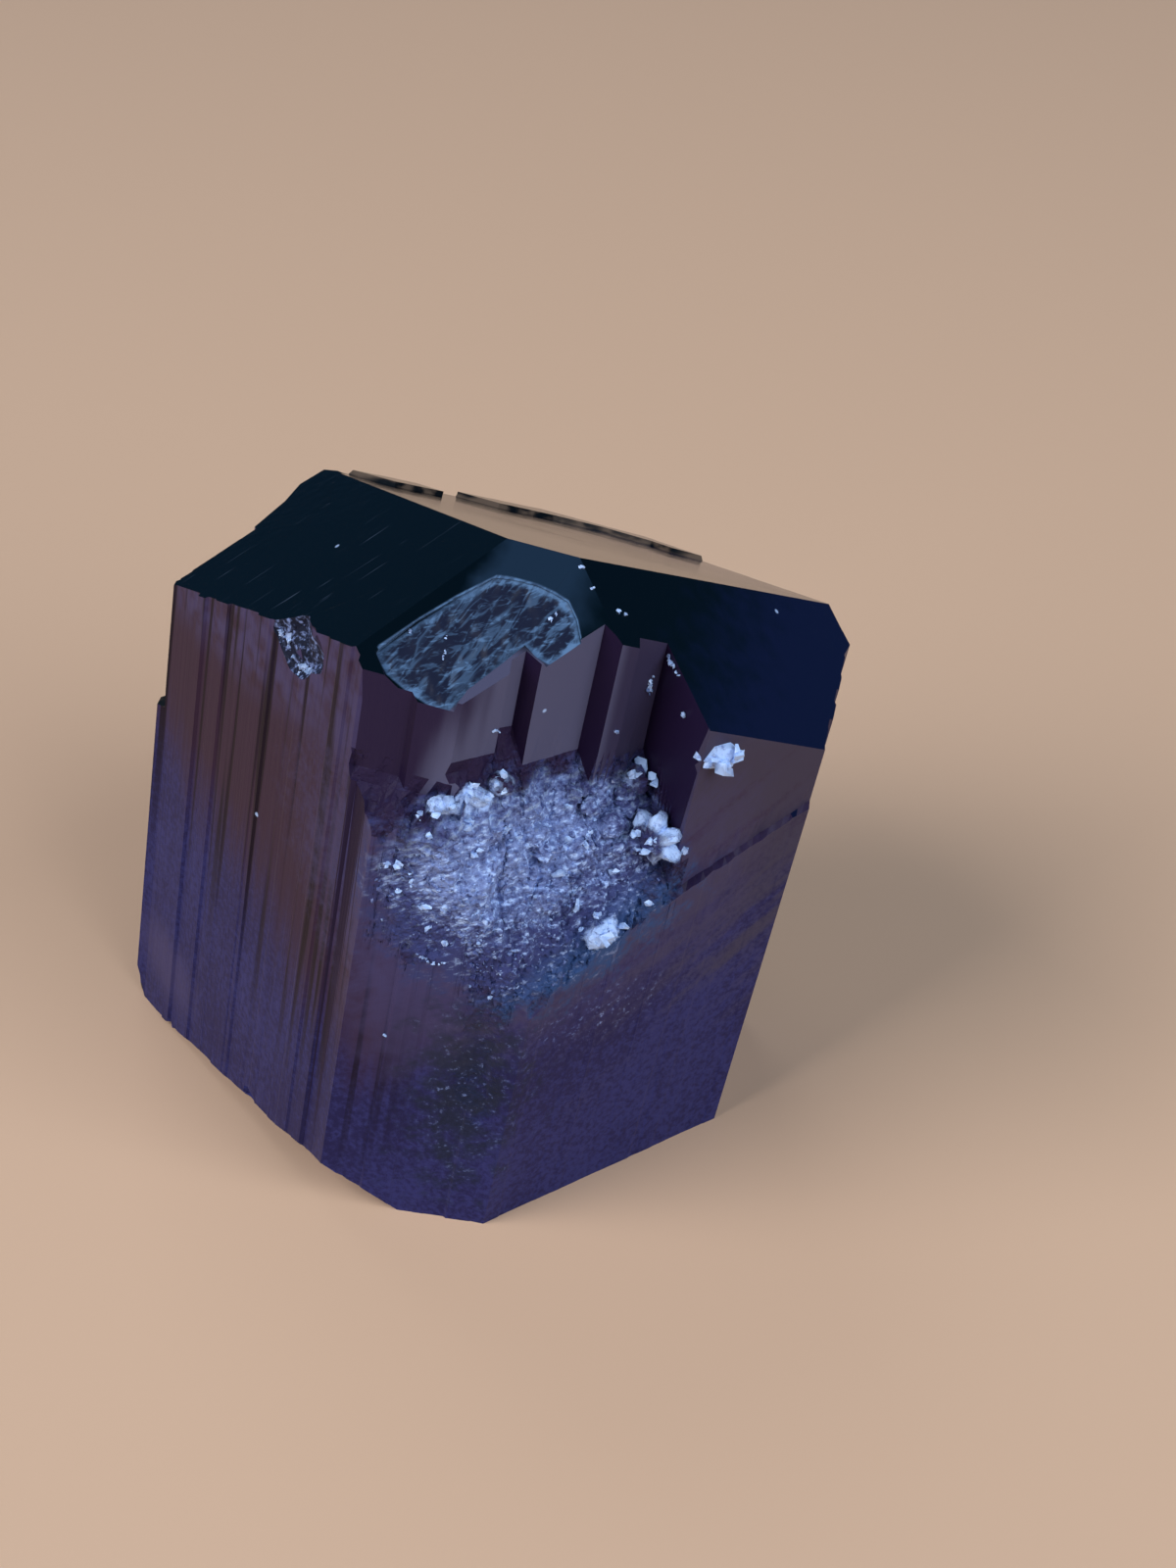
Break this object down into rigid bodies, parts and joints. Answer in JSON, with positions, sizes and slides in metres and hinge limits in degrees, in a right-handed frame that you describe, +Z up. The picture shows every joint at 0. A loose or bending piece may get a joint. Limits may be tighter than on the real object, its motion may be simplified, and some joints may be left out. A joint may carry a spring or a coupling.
{
  "type": "scapolite crystal",
  "caption": "Stubby dark violet scapolite crystal: a striated square prism with a low pyramid end, a rough broken patch at its front and a broken foot that it stands on.",
  "frame": {"origin": "middle of the plan bounding box, at the level of the foot", "axes": "+Z up from the flat broken foot; -Y towards the pictured side; the crystal's long axis leans about 13 degrees from +Z, to the right and slightly to the front"},
  "size_m": [0.0254, 0.0224, 0.024],
  "materials": {
    "scapolite": "glossy faces with rough pale breaks"
  },
  "bodies": {
    "root": {"crystal": "scapolite"}
  },
  "joints": []
}
